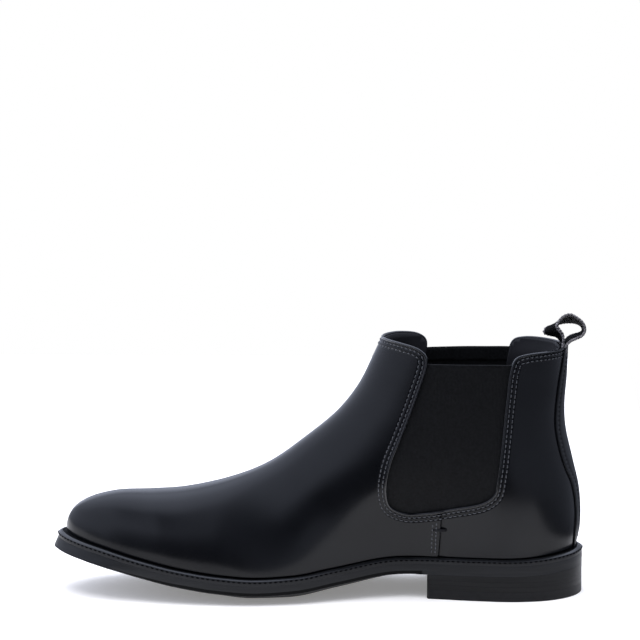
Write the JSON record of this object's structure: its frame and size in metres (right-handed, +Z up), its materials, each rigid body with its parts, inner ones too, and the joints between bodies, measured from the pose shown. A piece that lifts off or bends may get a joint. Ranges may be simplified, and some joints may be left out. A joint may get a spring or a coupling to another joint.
{
  "type": "chelsea boot",
  "caption": "Ankle boot with elastic side gussets, a smooth one-piece vamp, a back strip, a webbing pull tab, a welted sole and a low stacked heel",
  "frame": {"origin": "on the ground, under the middle of the boot's box", "axes": "+Z up, toe towards -X and heel towards +X, medial side towards -Y; the longest extent runs along X"},
  "size_m": [0.3084, 0.0988, 0.1628],
  "materials": {
    "leather": "smooth polished black calf leather with a faint blue sheen",
    "elastic": "matt black woven elastic",
    "lining": "matt black lining leather",
    "stiffener": "pressed thermoplastic sheet",
    "webbing": "coarse black jacquard webbing with paler edges",
    "thread": "waxed black thread",
    "sole_edge": "inked and waxed black edge, satin",
    "heel_rubber": "moulded black rubber, satin",
    "board": "fibre board",
    "cork": "pressed cork sheet",
    "foam": "closed-cell foam",
    "steel": "plain spring steel"
  },
  "bodies": {
    "root": {"vamp": "leather", "quarter_medial": "leather", "quarter_lateral": "leather", "back_strip": "leather", "gusset_medial": "elastic", "gusset_lateral": "elastic", "vamp_lining": "lining", "quarter_lining": "lining", "heel_grip": "lining", "sock_lining": "lining", "heel_counter": "stiffener", "pull_tab_tail": "webbing", "bar_tack_medial": "thread", "bar_tack_lateral": "thread", "welt": "sole_edge", "outsole": "sole_edge", "heel_lift_1": "sole_edge", "heel_lift_2": "sole_edge", "heel_lift_3": "sole_edge", "heel_top_piece": "heel_rubber", "insole_board": "board", "bottom_filler": "cork", "heel_pad": "foam", "shank": "steel", "shank_rivet_front": "steel", "shank_rivet_rear": "steel", "heel_screw": "steel", "heel_nail_1": "steel", "heel_nail_2": "steel", "heel_nail_3": "steel", "heel_nail_4": "steel"},
    "forefoot": {"toe_puff": "stiffener"},
    "tab": {"pull_tab": "webbing"}
  },
  "joints": [
    {"name": "pull_tab_swing", "type": "hinge", "parent": "root", "child": "tab", "pos_m": [0.14224, -0.00239, 0.1468], "axis": [0, 1, 0], "range_deg": [-40, 60], "stiffness_Nm_per_rad": 0.004},
    {"name": "forefoot_flex", "type": "hinge", "parent": "root", "child": "forefoot", "pos_m": [-0.03, 0, 0.018], "axis": [0, 1, 0], "range_deg": [0, 30], "stiffness_Nm_per_rad": 6, "deforming": ["vamp", "vamp_lining", "welt", "outsole", "insole_board", "bottom_filler", "sock_lining"]}
  ]
}
